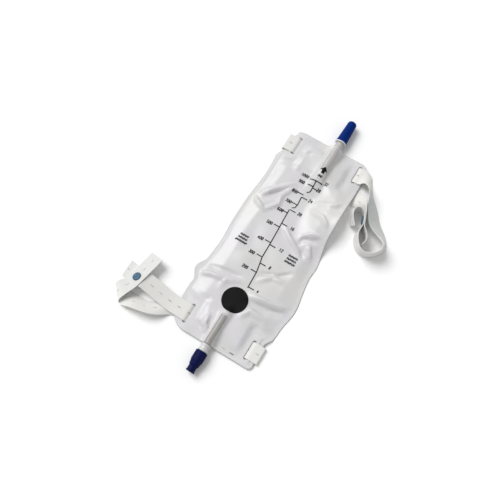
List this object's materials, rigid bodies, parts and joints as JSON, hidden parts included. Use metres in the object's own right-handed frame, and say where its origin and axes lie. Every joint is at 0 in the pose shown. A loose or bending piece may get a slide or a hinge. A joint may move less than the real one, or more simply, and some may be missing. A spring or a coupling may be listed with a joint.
{
  "type": "urine leg drainage bag",
  "caption": "Flat clear drainage pouch with a capped inlet tube, a twist outlet valve and elastic leg straps that thread its corner slots and button into loops.",
  "frame": {"origin": "on the flat underside of the back film, in the middle of the pouch", "axes": "+Z out of the printed front film, +Y along the pouch towards the inlet, +X to the right as the scale is read"},
  "size_m": [0.297, 0.4344, 0.025],
  "materials": {
    "clear_film": "clear, lightly frosted soft film",
    "soft_tube": "clear soft tube",
    "white_plastic": "smooth white moulding",
    "blue_plastic": "smooth blue moulding",
    "navy_plastic": "dark blue moulding",
    "white_elastic": "woven off-white elastic",
    "button_plastic": "grey-blue moulding",
    "grey_rubber": "soft dark grey"
  },
  "bodies": {
    "bag": {"back_film": "clear_film", "front_film": "clear_film", "inlet_tube": "soft_tube", "inlet_connector": "white_plastic", "reflux_valve": "clear_film", "outlet_tube": "soft_tube", "valve_body": "white_plastic", "upper_strap": "white_elastic", "lower_strap": "white_elastic", "upper_button": "button_plastic", "lower_button": "button_plastic", "upper_button_back": "white_plastic", "lower_button_back": "white_plastic"},
    "cap": {"inlet_cap": "blue_plastic"},
    "valve_ring": {"valve_seal_ring": "grey_rubber"},
    "sleeve": {"valve_sleeve": "navy_plastic"}
  },
  "joints": [
    {"name": "cap_pull", "type": "slide", "parent": "bag", "child": "cap", "axis": [0, 1, 0], "range_m": [0, 0.04]},
    {"name": "sleeve_travel", "type": "slide", "parent": "bag", "child": "valve_ring", "axis": [0, -1, 0], "range_m": [0, 0.003]},
    {"name": "sleeve_twist", "type": "hinge", "parent": "valve_ring", "child": "sleeve", "pos_m": [-0.0045, -0.1828, 0.0086], "axis": [0, -1, 0], "range_deg": [0, 180]}
  ],
  "couplings": [
    {"joint": "sleeve_twist", "follows": "sleeve_travel", "rad_per_m": 1047.2}
  ]
}
